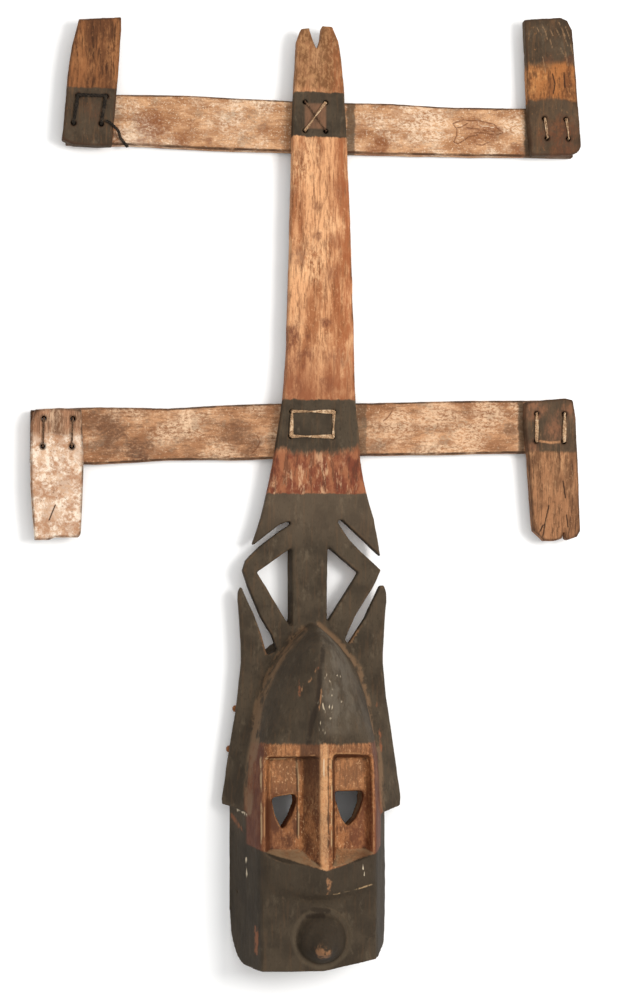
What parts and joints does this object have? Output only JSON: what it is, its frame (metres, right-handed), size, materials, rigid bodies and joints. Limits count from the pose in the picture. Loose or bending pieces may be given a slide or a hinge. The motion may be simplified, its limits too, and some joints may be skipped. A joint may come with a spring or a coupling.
{
  "type": "kanaga mask",
  "caption": "Carved wooden dance mask: a box-shaped face under a tall plank that carries lashed crossbars with upright end boards.",
  "frame": {"origin": "middle of the underside of the mask's box, on the floor that it lies on", "axes": "+Y from the chin to the top of the plank, +Z from the back of the mask to its face, +X to the right as one looks at the face"},
  "size_m": [0.65, 1.1128, 0.144],
  "materials": {
    "painted_wood": "matte paint, worn, over bare wood",
    "bar_wood": "washed pale, dry",
    "board_wood": "bare and painted, dry",
    "pale_cord": "twisted fibre",
    "black_cord": "twisted fibre, blackened",
    "fibre": "knotted fibre"
  },
  "bodies": {
    "root": {"mask": "painted_wood", "upper_crossbar": "bar_wood", "lower_crossbar": "bar_wood", "upper_left_end_board": "board_wood", "upper_right_end_board": "board_wood", "lower_left_end_board": "board_wood", "lower_right_end_board": "board_wood", "upper_centre_lashing": "pale_cord", "lower_centre_lashing": "pale_cord", "upper_left_lashing": "black_cord", "upper_right_lashing": "pale_cord", "lower_left_lashing": "pale_cord", "lower_right_lashing": "pale_cord", "loose_cord_end": "black_cord", "upper_rim_knot": "fibre", "lower_rim_knot": "fibre"}
  },
  "joints": []
}
